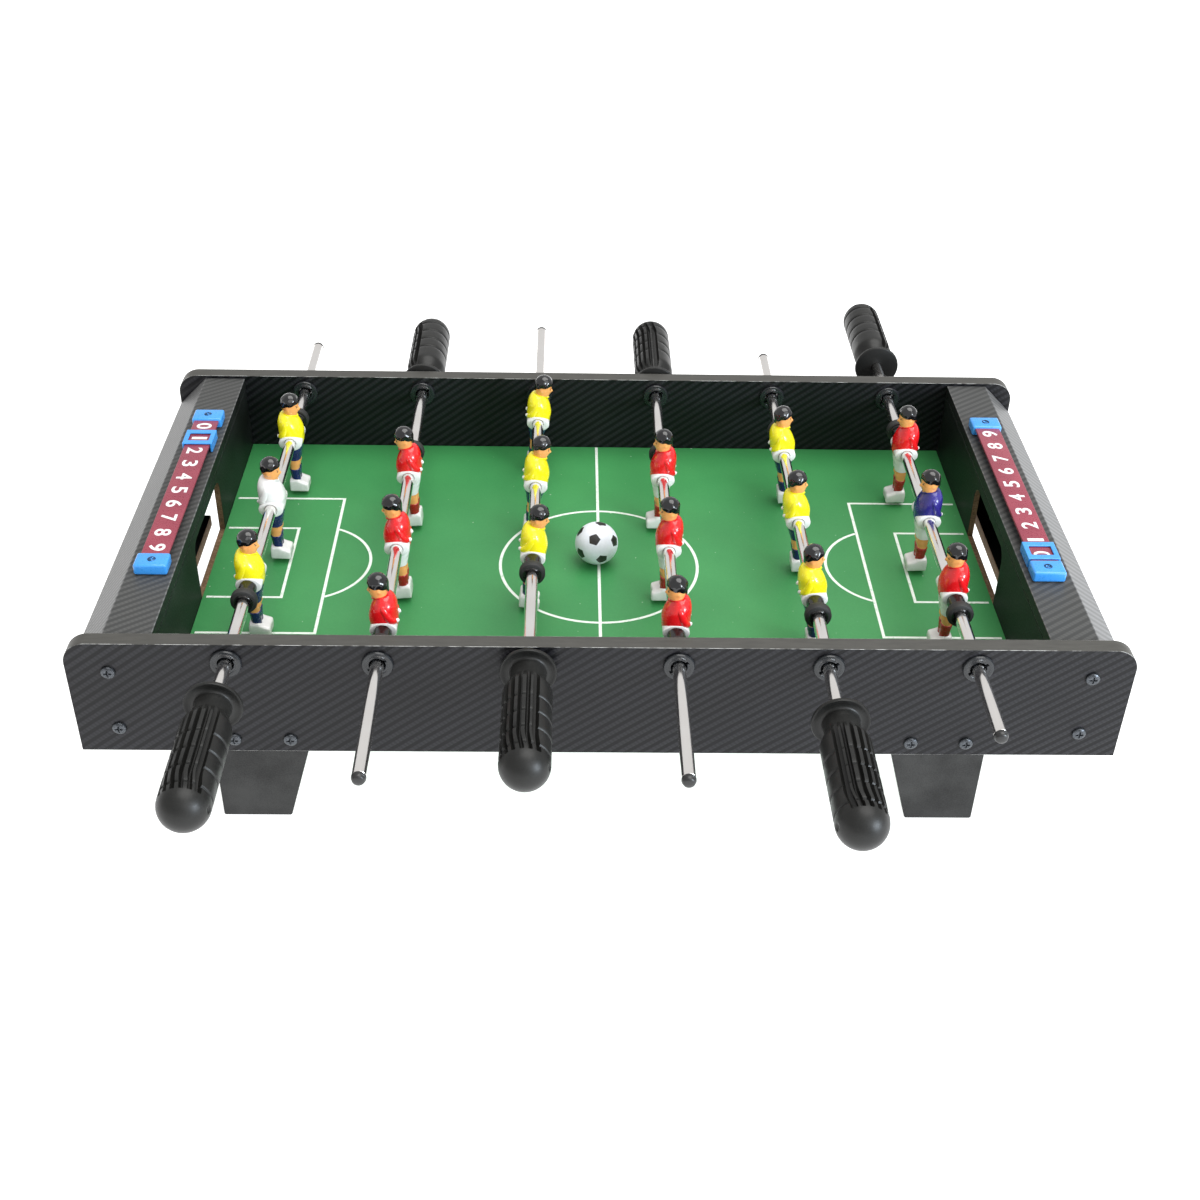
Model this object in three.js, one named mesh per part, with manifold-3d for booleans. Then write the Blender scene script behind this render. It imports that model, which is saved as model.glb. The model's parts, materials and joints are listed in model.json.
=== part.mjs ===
// Tabletop foosball table: a wrapped board box on four legs, six player rods that slide and
// turn in bushings, two sliding score counters and a ball. Millimetres, +Z up, the origin on the
// resting surface under the middle of the object. +X runs along the pitch, the front is at -Y.
import * as THREE from 'three';
import { mergeVertices } from 'three/addons/utils/BufferGeometryUtils.js';
import Module from 'manifold-3d';

const wasm = await Module();
wasm.setup();

// ---- driving dimensions -------------------------------------------------------------------
const GAP = 0.3;                 // clearance between pieces that touch
const CURVE_STEPS = 10;          // straight pieces in each curve of a plate's outline
const LENGTH = 690;              // outside length of the box
const DEPTH = 375;               // outside depth, over both side panels
const TOP = 158;                 // top edge of the side panels above the resting surface
const PANEL_HEIGHT = 88.5;
const PANEL_THICK = 11.5;
const PANEL_CORNER = 16;         // radius of the upper corners of the side panels

const FIELD_DROP = 64;           // playing surface below the panel tops
const FIELD_THICK = 5;
const FIELD_HALF = 290;          // half length of the playing surface
const WALL_THICK = 4.5;          // goal walls
const GOAL_HALF = 46.5;
const GOAL_TOP_DROP = 19;        // upper edge of the goal mouth below the panel tops
const GOAL_CORNER = 10;
const SILL_DROP = 1.5;           // goal sill below the playing surface

const LEDGE_DROP = 2.2;          // flat ledge of the end boards below the panel tops
const LEDGE_EDGE = 321.8;        // where the ledge turns down into the slope
const SLOPE_DROP = 25.4;         // lower edge of the slope below the panel tops
const END_THICK = 9;
const BLOCK_INNER = 305;         // glued corner blocks inside the end boards
const BLOCK_LENGTH = 14;
const BLOCK_DROP = 78.5;
const SHELF_INNER = 311;         // ball shelves between the goal wall and the end board
const SHELF_THICK = 9;
const SHELF_END = 88;            // the shelf stops here and leaves the pick-up hole

const LEG_THICK = 12;
const LEG_OUTER = 261.7;
const LEG_INNER_TOP = 189.5;
const LEG_INNER_FOOT = 214.4;
const LEG_CORNER = 1;

const ROD_PITCH = 96.6;
const ROD_DROP = 14.4;           // rod axes below the panel tops
const ROD_RADIUS = 4.4;
const ROD_WALL = 1;
const ROD_HOLE_RADIUS = 4.9;     // bores of the players and handles
const ROD_BARE_END = 250.5;      // bare end from the middle player
const PLAYER_PITCH = 96.6;
const ROD_PLACES = [6, -44, 41.5, -44.5, -6, -3.3]; // middle player of each rod, across the table
const ROD_LEANS = [0, -4, 7.3, 1.3, -5.5, 0];       // degrees that each team leans towards +X

const HANDLE_START = 234.8;      // back of the handle flange from the middle player
const HANDLE_LENGTH = 106.4;
const HANDLE_BORE = 72;          // how far the rod reaches into the handle
const HANDLE_FLANGE_RADIUS = 18.4;
const HANDLE_FLANGE_THICK = 3;
const HANDLE_NECK_RADIUS = 11.5;
const HANDLE_GRIP_RADIUS = 15.9;
const HANDLE_NECK_END = 16;      // the neck widens from here
const HANDLE_GRIP_START = 25.5;  // to here

const BUSH_FLANGE_RADIUS = 10.3;
const BUSH_FLANGE_THICK = 2.2;
const BUSH_FLANGE_BEVEL = 0.8;
const BUSH_BARREL_RADIUS = 6.8;
const BUSH_BORE_RADIUS = 5;

const FOOT_DROP = 47;            // sole below the rod axis
const FOOT_TOP = -37;
const FOOT_HALF_WIDTH = 8;
const FOOT_HEEL = -4.8;
const FOOT_TOE = 10;
const LEG_TOP = -8;
const LEG_HALF_WIDTH = 7.2;
const LEG_BACK = -4.6;
const LEG_FRONT = 5;
const TORSO_FLATNESS = 0.76;     // depth of the torso over its width
// Outlines of the torso and the head as [radius, height above the rod axis].
const TORSO_OUTLINE = [[0, -10], [8, -10], [11.3, -3], [12.7, 6], [12, 13], [6, 18], [0, 18]];
const HEAD_OUTLINE = [[0, 14], [4.6, 14], [7, 21], [7.6, 28], [7.1, 33], [4.4, 37], [0, 38.2]];

const SCORE_X = 304.7;
const SCORE_HALF = 108.5;        // half length over the end caps
const CAP_SIZE = [22.6, 16, 8];
const STRIP_WIDTH = 18.7;
const STRIP_THICK = 2;
const STRIP_RISE = 4.8;          // underside of the strip above the ledge
const SLIDER_SIZE = [22.4, 21, 7.9];
const SLIDER_WINDOW = [15.6, 11];
const SLIDER_SKIRT = 1.6;        // side walls of the slider
const SLIDER_PLACES = { left: 65.6, right: -80.4 };

const BALL_RADIUS = 16.2;
const BALL_PLACE = [-2, 4];

// ---- levels and places worked out from them ---------------------------------------------------
const halfDepth = DEPTH / 2;
const innerFace = halfDepth - PANEL_THICK;
const boardHalf = innerFace - GAP;            // half width of the boards between the panels
const panelBottom = TOP - PANEL_HEIGHT;
const fieldTop = TOP - FIELD_DROP;
const rodZ = TOP - ROD_DROP;
const ledgeTop = TOP - LEDGE_DROP;
const rodX = (number) => (number - 3.5) * ROD_PITCH;
const handleSide = (number) => (number % 2 === 1 ? -1 : 1); // odd rods are played from the front

// ---- materials --------------------------------------------------------------------------------
const finish = (color, roughness, metalness = 0) =>
  new THREE.MeshStandardMaterial({ color, roughness, metalness });

const finishes = {
  panel: finish(0x3a3d40, 0.5),
  goalWall: finish(0x141a17, 0.6),
  endBoard: finish(0x6f6f6c, 0.5),
  rawBoard: finish(0x7a5c40, 0.85),
  field: finish(0x2f8a4a, 0.45),
  rod: finish(0xd6d4d0, 0.18, 1),
  bushing: finish(0x17191b, 0.4),
  handle: finish(0x33332f, 0.45),
  yellow: finish(0xf2e21a, 0.3),
  red: finish(0xd8141c, 0.3),
  white: finish(0xe9e9e6, 0.3),
  purple: finish(0x4a4590, 0.3),
  scoreStrip: finish(0xc06a76, 0.4),
  scoreBlue: finish(0x2f86e0, 0.35),
  ball: finish(0xf1f1ee, 0.35),
};

// ---- solids ----------------------------------------------------------------------------------
function toSolid(geometry) {
  const bare = geometry.index ? geometry.toNonIndexed() : geometry.clone();
  bare.deleteAttribute('normal');
  bare.deleteAttribute('uv');
  const merged = mergeVertices(bare, 1e-4);
  return new wasm.Manifold(new wasm.Mesh({
    numProp: 3,
    vertProperties: new Float32Array(merged.attributes.position.array),
    triVerts: new Uint32Array(merged.index.array),
  }));
}

function toGeometry(solid) {
  const mesh = solid.getMesh();
  const geometry = new THREE.BufferGeometry();
  geometry.setAttribute('position', new THREE.BufferAttribute(mesh.vertProperties, 3));
  geometry.setIndex(new THREE.BufferAttribute(mesh.triVerts, 1));
  geometry.computeVertexNormals();
  return geometry;
}

function joinAll(geometries) {
  return geometries.map(toSolid).reduce((whole, next) => whole.add(next));
}

// A box given by its lowest and highest corners.
function boxBetween(low, high) {
  const size = high.map((value, axis) => value - low[axis]);
  const centre = high.map((value, axis) => (value + low[axis]) / 2);
  return new THREE.BoxGeometry(...size).translate(...centre);
}

// An outline drawn in X and Z, extruded along Y from one place to another.
function plateAlongY(shape, fromY, toY) {
  const geometry = new THREE.ExtrudeGeometry(shape, {
    depth: toY - fromY, bevelEnabled: false, curveSegments: CURVE_STEPS,
  });
  return geometry.rotateX(Math.PI / 2).translate(0, toY, 0);
}

// A profile of [radius, height] pairs turned about the Y axis.
function turnedAboutY(profile, segments) {
  const points = profile.map(([radius, along]) => new THREE.Vector2(radius, along));
  return new THREE.LatheGeometry(points, segments);
}

function outline(points) {
  return new THREE.Shape(points.map(([x, z]) => new THREE.Vector2(x, z)));
}

// ---- the box ----------------------------------------------------------------------------------
function sidePanel(side) {
  const half = LENGTH / 2;
  const shape = new THREE.Shape();
  shape.moveTo(-half, panelBottom);
  shape.lineTo(half, panelBottom);
  shape.lineTo(half, TOP - PANEL_CORNER);
  shape.absarc(half - PANEL_CORNER, TOP - PANEL_CORNER, PANEL_CORNER, 0, Math.PI / 2, false);
  shape.lineTo(-half + PANEL_CORNER, TOP);
  shape.absarc(-half + PANEL_CORNER, TOP - PANEL_CORNER, PANEL_CORNER, Math.PI / 2, Math.PI, false);
  shape.closePath();
  for (let number = 1; number <= 6; number += 1) {
    const hole = new THREE.Path();
    hole.absarc(rodX(number), rodZ, BUSH_BARREL_RADIUS + 2 * GAP, 0, 2 * Math.PI, true);
    shape.holes.push(hole);
  }
  const faces = [side * innerFace, side * halfDepth].sort((a, b) => a - b);
  return plateAlongY(shape, ...faces);
}

function playfield() {
  const half = FIELD_HALF - GAP;
  return boxBetween([-half, -boardHalf, fieldTop - FIELD_THICK], [half, boardHalf, fieldTop]);
}

// The mouth of the goal, drawn in Y and Z: square at the sill and rounded at the top.
function goalMouth() {
  const top = TOP - GOAL_TOP_DROP;
  const shape = new THREE.Shape();
  shape.moveTo(-GOAL_HALF, fieldTop - SILL_DROP);
  shape.lineTo(GOAL_HALF, fieldTop - SILL_DROP);
  shape.lineTo(GOAL_HALF, top - GOAL_CORNER);
  shape.absarc(GOAL_HALF - GOAL_CORNER, top - GOAL_CORNER, GOAL_CORNER, 0, Math.PI / 2, false);
  shape.lineTo(-GOAL_HALF + GOAL_CORNER, top);
  shape.absarc(GOAL_CORNER - GOAL_HALF, top - GOAL_CORNER, GOAL_CORNER, Math.PI / 2, Math.PI, false);
  shape.closePath();
  return shape;
}

function goalWall(side) {
  const top = ledgeTop - END_THICK - GAP;
  const shape = outline([
    [-boardHalf, panelBottom], [boardHalf, panelBottom], [boardHalf, top], [-boardHalf, top],
  ]);
  shape.holes.push(new THREE.Path(goalMouth().getPoints(CURVE_STEPS)));
  const plate = new THREE.ExtrudeGeometry(shape, { depth: WALL_THICK, bevelEnabled: false });
  const start = side > 0 ? FIELD_HALF : -FIELD_HALF - WALL_THICK;
  return plate.rotateX(Math.PI / 2).rotateZ(Math.PI / 2).translate(start, 0, 0);
}

// Ledge, slope and outer face folded from one board, with a glued block in each end.
function endBoard(side) {
  const slope = (SLOPE_DROP - LEDGE_DROP) / (LENGTH / 2 - LEDGE_EDGE);
  const turn = END_THICK * Math.tan(Math.atan(slope) / 2);
  const lowerTurn = END_THICK * Math.tan((Math.PI / 2 - Math.atan(slope)) / 2);
  const outerX = LENGTH / 2;
  const innerX = outerX - END_THICK;
  const ledgeUnder = ledgeTop - END_THICK;
  const slopeUnder = TOP - SLOPE_DROP - lowerTurn;
  const board = [
    [FIELD_HALF, ledgeTop], [LEDGE_EDGE, ledgeTop], [outerX, TOP - SLOPE_DROP],
    [outerX, panelBottom], [innerX, panelBottom], [innerX, slopeUnder],
    [LEDGE_EDGE - turn, ledgeUnder], [FIELD_HALF, ledgeUnder],
  ];
  const bury = 0.5;
  const block = [
    [BLOCK_INNER, ledgeUnder + bury], [LEDGE_EDGE - turn, ledgeUnder + bury],
    [innerX + bury, slopeUnder], [innerX + bury, TOP - BLOCK_DROP], [BLOCK_INNER, TOP - BLOCK_DROP],
  ];
  const mirror = ([x, z]) => [side * x, z];
  const whole = joinAll([
    plateAlongY(outline(board.map(mirror)), -boardHalf, boardHalf),
    plateAlongY(outline(block.map(mirror)), -boardHalf, BLOCK_LENGTH - boardHalf),
    plateAlongY(outline(block.map(mirror)), boardHalf - BLOCK_LENGTH, boardHalf),
  ]);
  return toGeometry(whole);
}

// The shelf that catches the ball behind a goal. It leaves a hole at one end to take the ball out.
function ballShelf(side) {
  const outerX = LENGTH / 2 - END_THICK - GAP;
  const xs = [side * SHELF_INNER, side * outerX].sort((a, b) => a - b);
  const ys = [side * boardHalf, -side * SHELF_END].sort((a, b) => a - b);
  return boxBetween(
    [xs[0], ys[0], panelBottom],
    [xs[1], ys[1], panelBottom + SHELF_THICK],
  );
}

function leg(sideX, sideY) {
  const top = fieldTop - FIELD_THICK - GAP;
  const shape = new THREE.Shape();
  shape.moveTo(sideX * LEG_INNER_TOP, top);
  shape.lineTo(sideX * LEG_INNER_FOOT, LEG_CORNER);
  shape.lineTo(sideX * (LEG_INNER_FOOT + LEG_CORNER), 0);
  shape.lineTo(sideX * (LEG_OUTER - LEG_CORNER), 0);
  shape.lineTo(sideX * LEG_OUTER, LEG_CORNER);
  shape.lineTo(sideX * LEG_OUTER, top);
  shape.closePath();
  const faces = [sideY * boardHalf, sideY * (boardHalf - LEG_THICK)].sort((a, b) => a - b);
  return plateAlongY(shape, ...faces);
}

// ---- rods ---------------------------------------------------------------------------------------
// Each is made along +Y with the middle player at 0 and the handle at the +Y end.
function rodTube() {
  const end = HANDLE_START + HANDLE_BORE - 1;
  const bore = ROD_RADIUS - ROD_WALL;
  return turnedAboutY([
    [bore, -ROD_BARE_END], [ROD_RADIUS, -ROD_BARE_END], [ROD_RADIUS, end], [bore, end],
    [bore, -ROD_BARE_END],
  ], 16);
}

function handle() {
  const grip = HANDLE_GRIP_RADIUS;
  const neck = HANDLE_NECK_RADIUS;
  const flange = HANDLE_FLANGE_RADIUS;
  const thick = HANDLE_FLANGE_THICK;
  const domeStart = HANDLE_LENGTH - grip;
  const dome = [75, 60, 45, 30, 15].map((degrees) => {
    const angle = THREE.MathUtils.degToRad(degrees);
    return [grip * Math.cos(angle), domeStart + grip * Math.sin(angle)];
  });
  const profile = [
    [0, HANDLE_BORE], [ROD_HOLE_RADIUS, HANDLE_BORE], [ROD_HOLE_RADIUS, 0], [flange, 0],
    [flange, thick], [flange - 2, thick - 0.4], [neck, thick + 0.5], [neck, HANDLE_NECK_END],
    [(neck + 2 * grip) / 3, (HANDLE_NECK_END + HANDLE_GRIP_START) / 2], [grip, HANDLE_GRIP_START],
    [grip, domeStart], ...dome.reverse(), [0, HANDLE_LENGTH],
  ];
  return turnedAboutY(profile, 18).translate(0, HANDLE_START, 0);
}

function bushing(side) {
  const outer = PANEL_THICK / 2 + GAP;
  const rim = outer + BUSH_FLANGE_THICK;
  const bore = BUSH_BORE_RADIUS;
  const flange = BUSH_FLANGE_RADIUS;
  const barrel = BUSH_BARREL_RADIUS;
  const bevel = BUSH_FLANGE_BEVEL;
  const profile = [
    [bore, -rim], [flange - bevel, -rim], [flange, bevel - rim], [flange, -outer], [barrel, -outer],
    [barrel, outer], [flange, outer], [flange, rim - bevel], [flange - bevel, rim], [bore, rim],
    [bore, -rim],
  ];
  return turnedAboutY(profile, 12).translate(0, side * (halfDepth - PANEL_THICK / 2), 0);
}

// A body turned about +Z from an outline of [radius, height] pairs.
function turnedUpright(points, segments) {
  const outlinePoints = points.map(([radius, height]) => new THREE.Vector2(radius, height));
  return new THREE.LatheGeometry(outlinePoints, segments).rotateX(Math.PI / 2);
}

// A player facing +X with the rod axis at the origin.
function player() {
  const torso = turnedUpright(TORSO_OUTLINE, 12).scale(TORSO_FLATNESS, 1, 1);
  const head = turnedUpright(HEAD_OUTLINE, 10);
  const legs = boxBetween(
    [LEG_BACK, -LEG_HALF_WIDTH, FOOT_TOP - 1.5],
    [LEG_FRONT, LEG_HALF_WIDTH, LEG_TOP],
  );
  const foot = boxBetween(
    [FOOT_HEEL, -FOOT_HALF_WIDTH, -FOOT_DROP],
    [FOOT_TOE, FOOT_HALF_WIDTH, FOOT_TOP],
  );
  const bore = new THREE.CylinderGeometry(ROD_HOLE_RADIUS, ROD_HOLE_RADIUS, PLAYER_PITCH / 2, 12);
  const whole = joinAll([torso, head, legs, foot]).subtract(toSolid(bore));
  return toGeometry(whole);
}

// ---- score counters ------------------------------------------------------------------------------
// Two end caps that carry the strip, drawn with the ledge at height 0.
function scoreBar() {
  const [width, length, height] = CAP_SIZE;
  const caps = [-1, 1].map((end) => boxBetween(
    [-width / 2, end * SCORE_HALF - (end > 0 ? length : 0), GAP],
    [width / 2, end * SCORE_HALF + (end > 0 ? 0 : length), GAP + height],
  ));
  const reach = SCORE_HALF - length / 2;
  const strip = boxBetween(
    [-STRIP_WIDTH / 2, -reach, STRIP_RISE],
    [STRIP_WIDTH / 2, reach, STRIP_RISE + STRIP_THICK],
  );
  return toGeometry(joinAll([strip, ...caps]));
}

// A cap with a window that straddles the strip.
function scoreSlider() {
  const [width, length, height] = SLIDER_SIZE;
  const top = GAP + height;
  const roof = STRIP_RISE + STRIP_THICK + GAP;
  const inside = width / 2 - SLIDER_SKIRT;
  const shell = toSolid(boxBetween([-width / 2, -length / 2, 2 * GAP], [width / 2, length / 2, top]));
  const room = toSolid(boxBetween([-inside, -length, -1], [inside, length, roof]));
  const [windowWidth, windowLength] = SLIDER_WINDOW;
  const window = toSolid(boxBetween(
    [-windowWidth / 2, -windowLength / 2, 0],
    [windowWidth / 2, windowLength / 2, top + 1],
  ));
  return toGeometry(shell.subtract(room).subtract(window));
}

// ---- assembly -------------------------------------------------------------------------------------
const table = new THREE.Group();

// A mesh turned about +Z first and then leant about +Y, in radians.
function place(name, geometry, material, position = [0, 0, 0], turn = 0, lean = 0) {
  const mesh = new THREE.Mesh(geometry, material.clone());
  mesh.name = name;
  mesh.position.set(...position);
  mesh.rotation.set(0, lean, turn);
  table.add(mesh);
}

for (const [word, side] of [['front', -1], ['back', 1]]) {
  place(`side_panel_${word}`, sidePanel(side), finishes.panel);
}
place('playfield', playfield(), finishes.field);
for (const [word, side] of [['left', -1], ['right', 1]]) {
  place(`goal_wall_${word}`, goalWall(side), finishes.goalWall);
  place(`end_board_${word}`, endBoard(side), finishes.endBoard);
  place(`ball_shelf_${word}`, ballShelf(side), finishes.rawBoard);
  place(`leg_front_${word}`, leg(side, -1), finishes.panel);
  place(`leg_back_${word}`, leg(side, 1), finishes.panel);
  const turn = side > 0 ? Math.PI : 0;
  place(`score_bar_${word}`, scoreBar(), finishes.scoreStrip, [side * SCORE_X, 0, ledgeTop], turn);
  place(`score_slider_${word}`, scoreSlider(), finishes.scoreBlue,
    [side * SCORE_X, SLIDER_PLACES[word], ledgeTop], turn);
}

// Odd rods carry the yellow team, which plays towards +X, and even rods the red team. The middle
// player of each outermost rod is the goalkeeper, in a shirt of its own.
for (let number = 1; number <= 6; number += 1) {
  const yellow = number % 2 === 1;
  const middle = ROD_PLACES[number - 1];
  const at = [rodX(number), middle, rodZ];
  const turn = handleSide(number) > 0 ? 0 : Math.PI;
  const lean = THREE.MathUtils.degToRad(ROD_LEANS[number - 1]);
  place(`rod_${number}_tube`, rodTube(), finishes.rod, at, turn);
  place(`rod_${number}_handle`, handle(), finishes.handle, at, turn);
  for (const [word, step] of [['front', -1], ['middle', 0], ['back', 1]]) {
    let shirt = yellow ? finishes.yellow : finishes.red;
    if (number === 1 && step === 0) shirt = finishes.white;
    if (number === 6 && step === 0) shirt = finishes.purple;
    place(`rod_${number}_player_${word}`, player(), shirt,
      [rodX(number), middle + step * PLAYER_PITCH, rodZ], yellow ? 0 : Math.PI, lean);
  }
  place(`rod_${number}_bushing_front`, bushing(-1), finishes.bushing, [rodX(number), 0, rodZ]);
  place(`rod_${number}_bushing_back`, bushing(1), finishes.bushing, [rodX(number), 0, rodZ]);
}

place('ball', new THREE.IcosahedronGeometry(BALL_RADIUS, 3), finishes.ball,
  [BALL_PLACE[0], BALL_PLACE[1], fieldTop + BALL_RADIUS + GAP]);

// The handles reach furthest out, so the middle of the object lies between their tips.
const tips = ROD_PLACES.map((middle, index) =>
  middle + handleSide(index + 1) * (HANDLE_START + HANDLE_LENGTH));
table.position.y = -(Math.min(...tips) + Math.max(...tips)) / 2;

export default table;
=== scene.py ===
"""The looks of a tabletop foosball table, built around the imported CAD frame.

Lengths are in millimetres and angles in degrees until an object or a node is made. Places come from
the frame: every piece is put where the CAD node that it belongs to lies.
"""
import json
import math

import bmesh
import bpy
from mathutils import Matrix, Vector

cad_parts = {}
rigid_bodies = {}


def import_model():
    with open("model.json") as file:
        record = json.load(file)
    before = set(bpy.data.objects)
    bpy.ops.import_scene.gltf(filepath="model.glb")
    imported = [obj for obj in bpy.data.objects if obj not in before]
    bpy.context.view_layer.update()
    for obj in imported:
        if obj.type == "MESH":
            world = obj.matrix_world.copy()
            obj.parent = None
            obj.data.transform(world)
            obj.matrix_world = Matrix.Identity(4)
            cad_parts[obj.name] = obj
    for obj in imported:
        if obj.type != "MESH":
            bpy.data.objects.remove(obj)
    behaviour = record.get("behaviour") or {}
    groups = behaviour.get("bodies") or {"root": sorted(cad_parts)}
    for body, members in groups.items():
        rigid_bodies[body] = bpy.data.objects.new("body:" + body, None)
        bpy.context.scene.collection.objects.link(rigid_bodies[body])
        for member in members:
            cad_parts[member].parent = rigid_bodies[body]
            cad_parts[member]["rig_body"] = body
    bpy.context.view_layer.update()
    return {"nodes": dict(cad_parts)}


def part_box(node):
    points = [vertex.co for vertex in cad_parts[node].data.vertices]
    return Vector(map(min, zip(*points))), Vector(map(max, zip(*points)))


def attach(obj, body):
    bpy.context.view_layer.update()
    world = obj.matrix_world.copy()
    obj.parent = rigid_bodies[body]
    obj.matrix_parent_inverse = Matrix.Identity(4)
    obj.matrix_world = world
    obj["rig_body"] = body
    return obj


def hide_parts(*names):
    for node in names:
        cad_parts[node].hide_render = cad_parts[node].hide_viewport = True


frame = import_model()

MM = 0.001
TURN = 2 * math.pi

# ---- what the frame gives ------------------------------------------------------------------------


def box_mm(node):
    """Lowest and highest corners of a CAD node, in millimetres."""
    low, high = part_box(node)
    return low / MM, high / MM


panel_low, panel_high = box_mm("side_panel_front")
back_high = box_mm("side_panel_back")[1]
field_low, field_high = box_mm("playfield")
TOP = panel_high.z
MIDDLE = (panel_low.y + back_high.y) / 2
FIELD_TOP = field_high.z
FIELD_HALF_WIDTH = (field_high.y - field_low.y) / 2
RODS = range(1, 7)
SPOTS = ("front", "middle", "back")
ENDS = {"left": -1, "right": 1}
SIDES = {"front": -1, "back": 1}


def rod_axis(number):
    """A point on the rod's axis, level with its middle player."""
    low, high = box_mm(f"rod_{number}_tube")
    player_low, player_high = box_mm(f"rod_{number}_player_middle")
    return Vector(((low.x + high.x) / 2, (player_low.y + player_high.y) / 2, (low.z + high.z) / 2))


def handle_side(number):
    """-1 where the handle is in front of the table, 1 where it is behind."""
    low, high = box_mm(f"rod_{number}_handle")
    return -1 if low.y + high.y < 2 * MIDDLE else 1


# ---- materials -----------------------------------------------------------------------------------


class Paint:
    """A procedural material: a small builder around its node tree."""

    def __init__(self, name, **sockets):
        self.material = bpy.data.materials.new(name)
        self.material.use_nodes = True
        self.nodes = self.material.node_tree.nodes
        self.links = self.material.node_tree.links
        self.shader = self.nodes["Principled BSDF"]
        self.place = self.add("ShaderNodeTexCoord").outputs["Object"]
        for socket, value in sockets.items():
            self.shader.inputs[socket.replace("_", " ")].default_value = value

    def add(self, kind, inputs=(), **properties):
        node = self.nodes.new(kind)
        for name, value in properties.items():
            setattr(node, name, value)
        for socket, value in dict(inputs).items():
            if isinstance(value, bpy.types.NodeSocket):
                self.links.new(value, node.inputs[socket])
            else:
                node.inputs[socket].default_value = value
        return node

    def math(self, operation, first, second=0.0, third=0.0):
        values = {0: first, 1: second, 2: third}
        return self.add("ShaderNodeMath", values, operation=operation).outputs[0]

    def scaled(self, scale):
        """The place on the object, stretched by three factors."""
        inputs = {0: self.place, 1: scale}
        return self.add("ShaderNodeVectorMath", inputs, operation="MULTIPLY").outputs[0]

    def along(self, direction):
        """How far the place lies along a direction, counted in lengths of it."""
        inputs = {0: self.place, 1: direction}
        return self.add("ShaderNodeVectorMath", inputs, operation="DOT_PRODUCT").outputs["Value"]

    def noise(self, per_metre, detail=3.0, stretch=(1, 1, 1), roughness=0.55):
        inputs = {"Vector": self.scaled(stretch), "Scale": per_metre, "Detail": detail,
                  "Roughness": roughness}
        return self.add("ShaderNodeTexNoise", inputs).outputs["Fac"]

    def ramp(self, factor, stops):
        node = self.add("ShaderNodeValToRGB", {"Fac": factor})
        elements = node.color_ramp.elements
        while len(elements) < len(stops):
            elements.new(0.5)
        for element, (position, colour) in zip(elements, stops):
            element.position = position
            element.color = (*colour, 1)
        return node.outputs["Color"]

    def levels(self, factor, low, high, start=0.0, end=1.0):
        """The factor's range from low to high, mapped to start and end and clamped."""
        inputs = {"Value": factor, "From Min": low, "From Max": high, "To Min": start, "To Max": end}
        return self.add("ShaderNodeMapRange", inputs).outputs["Result"]

    def mix(self, factor, first, second, blend="MIX"):
        node = self.add("ShaderNodeMix", data_type="RGBA", blend_type=blend)
        for index, value in ((0, factor), (6, first), (7, second)):
            if isinstance(value, bpy.types.NodeSocket):
                self.links.new(value, node.inputs[index])
            elif index == 0:
                node.inputs[index].default_value = value
            else:
                node.inputs[index].default_value = (*value, 1)
        return node.outputs[2]

    def set(self, socket, output):
        self.links.new(output, self.shader.inputs[socket])
        return self

    def bump(self, height, millimetres, strength=1.0):
        inputs = {"Height": height, "Distance": millimetres * MM, "Strength": strength}
        return self.set("Normal", self.add("ShaderNodeBump", inputs).outputs["Normal"])


def between(colour, factor):
    return tuple(channel * factor for channel in colour)


# The embossed vinyl repeats as ropes that rise to the right, made of beads.
ROPE_ACROSS = (-0.107, 0.146)
ROPE_BEADS = (0.264, 0.254)


def carbon_wrap(name, plane, dark, light, roughness=0.4, emboss=0.22):
    """Vinyl with embossed ropes, coloured lighter on the raised ropes and beads as a painted sheen and
    darker in the gaps as painted shade. `plane` names the two axes that the face lies in.
    """
    paint = Paint(name, Roughness=roughness, Specular_IOR_Level=0.25)

    def wave(frequency):
        direction = [0.0, 0.0, 0.0]
        for axis, value in zip(plane, frequency):
            direction["xyz".index(axis)] = value / MM * TURN
        return paint.math("COSINE", paint.along(direction))

    grain = paint.noise(2600, 2)
    patch = paint.noise(14, 2)
    rope = paint.levels(wave(ROPE_ACROSS), -0.55, 0.45)
    bead = paint.levels(wave(ROPE_BEADS), -1, 1, 0.62, 1)
    height = paint.math("MULTIPLY", rope, bead)
    # The colour follows the emboss: painted sheen on the raised ropes and beads, painted shade in the gaps
    # between them, over the vinyl's own dark colour, grain and patches.
    tone = paint.math("MULTIPLY_ADD", grain, 0.5, paint.math("SUBTRACT", height, 0.25))
    tone = paint.math("MULTIPLY", tone, paint.levels(patch, 0.3, 0.7, 0.75, 1.1))
    middle = tuple((a + b) / 2 for a, b in zip(dark, light))
    paint.set("Base Color", paint.ramp(tone, [(0.05, dark), (0.5, middle), (1.0, light)]))
    return paint.bump(height, emboss, 0.7).material


def board_band(name, colour):
    """The plain matt band round a board's edge, slightly uneven."""
    paint = Paint(name, Roughness=0.5)
    streaks = paint.noise(60, 4, (1, 6, 6))
    grain = paint.noise(1800, 2)
    tone = paint.math("MULTIPLY_ADD", grain, 0.35, streaks)
    paint.set("Base Color", paint.ramp(tone, [(0.4, between(colour, 0.8)), (0.9, between(colour, 1.2))]))
    return paint.bump(grain, 0.03, 0.4).material


def worn_edge(name, colour, worn):
    """The corner of a wrapped board, rubbed through in broken stretches."""
    paint = Paint(name, Roughness=0.55)
    rubbed = paint.levels(paint.noise(75, 5, (1, 3, 3), 0.7), 0.44, 0.56)
    paint.set("Base Color", paint.mix(rubbed, colour, worn))
    return paint.bump(rubbed, 0.05, 0.5).material


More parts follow.
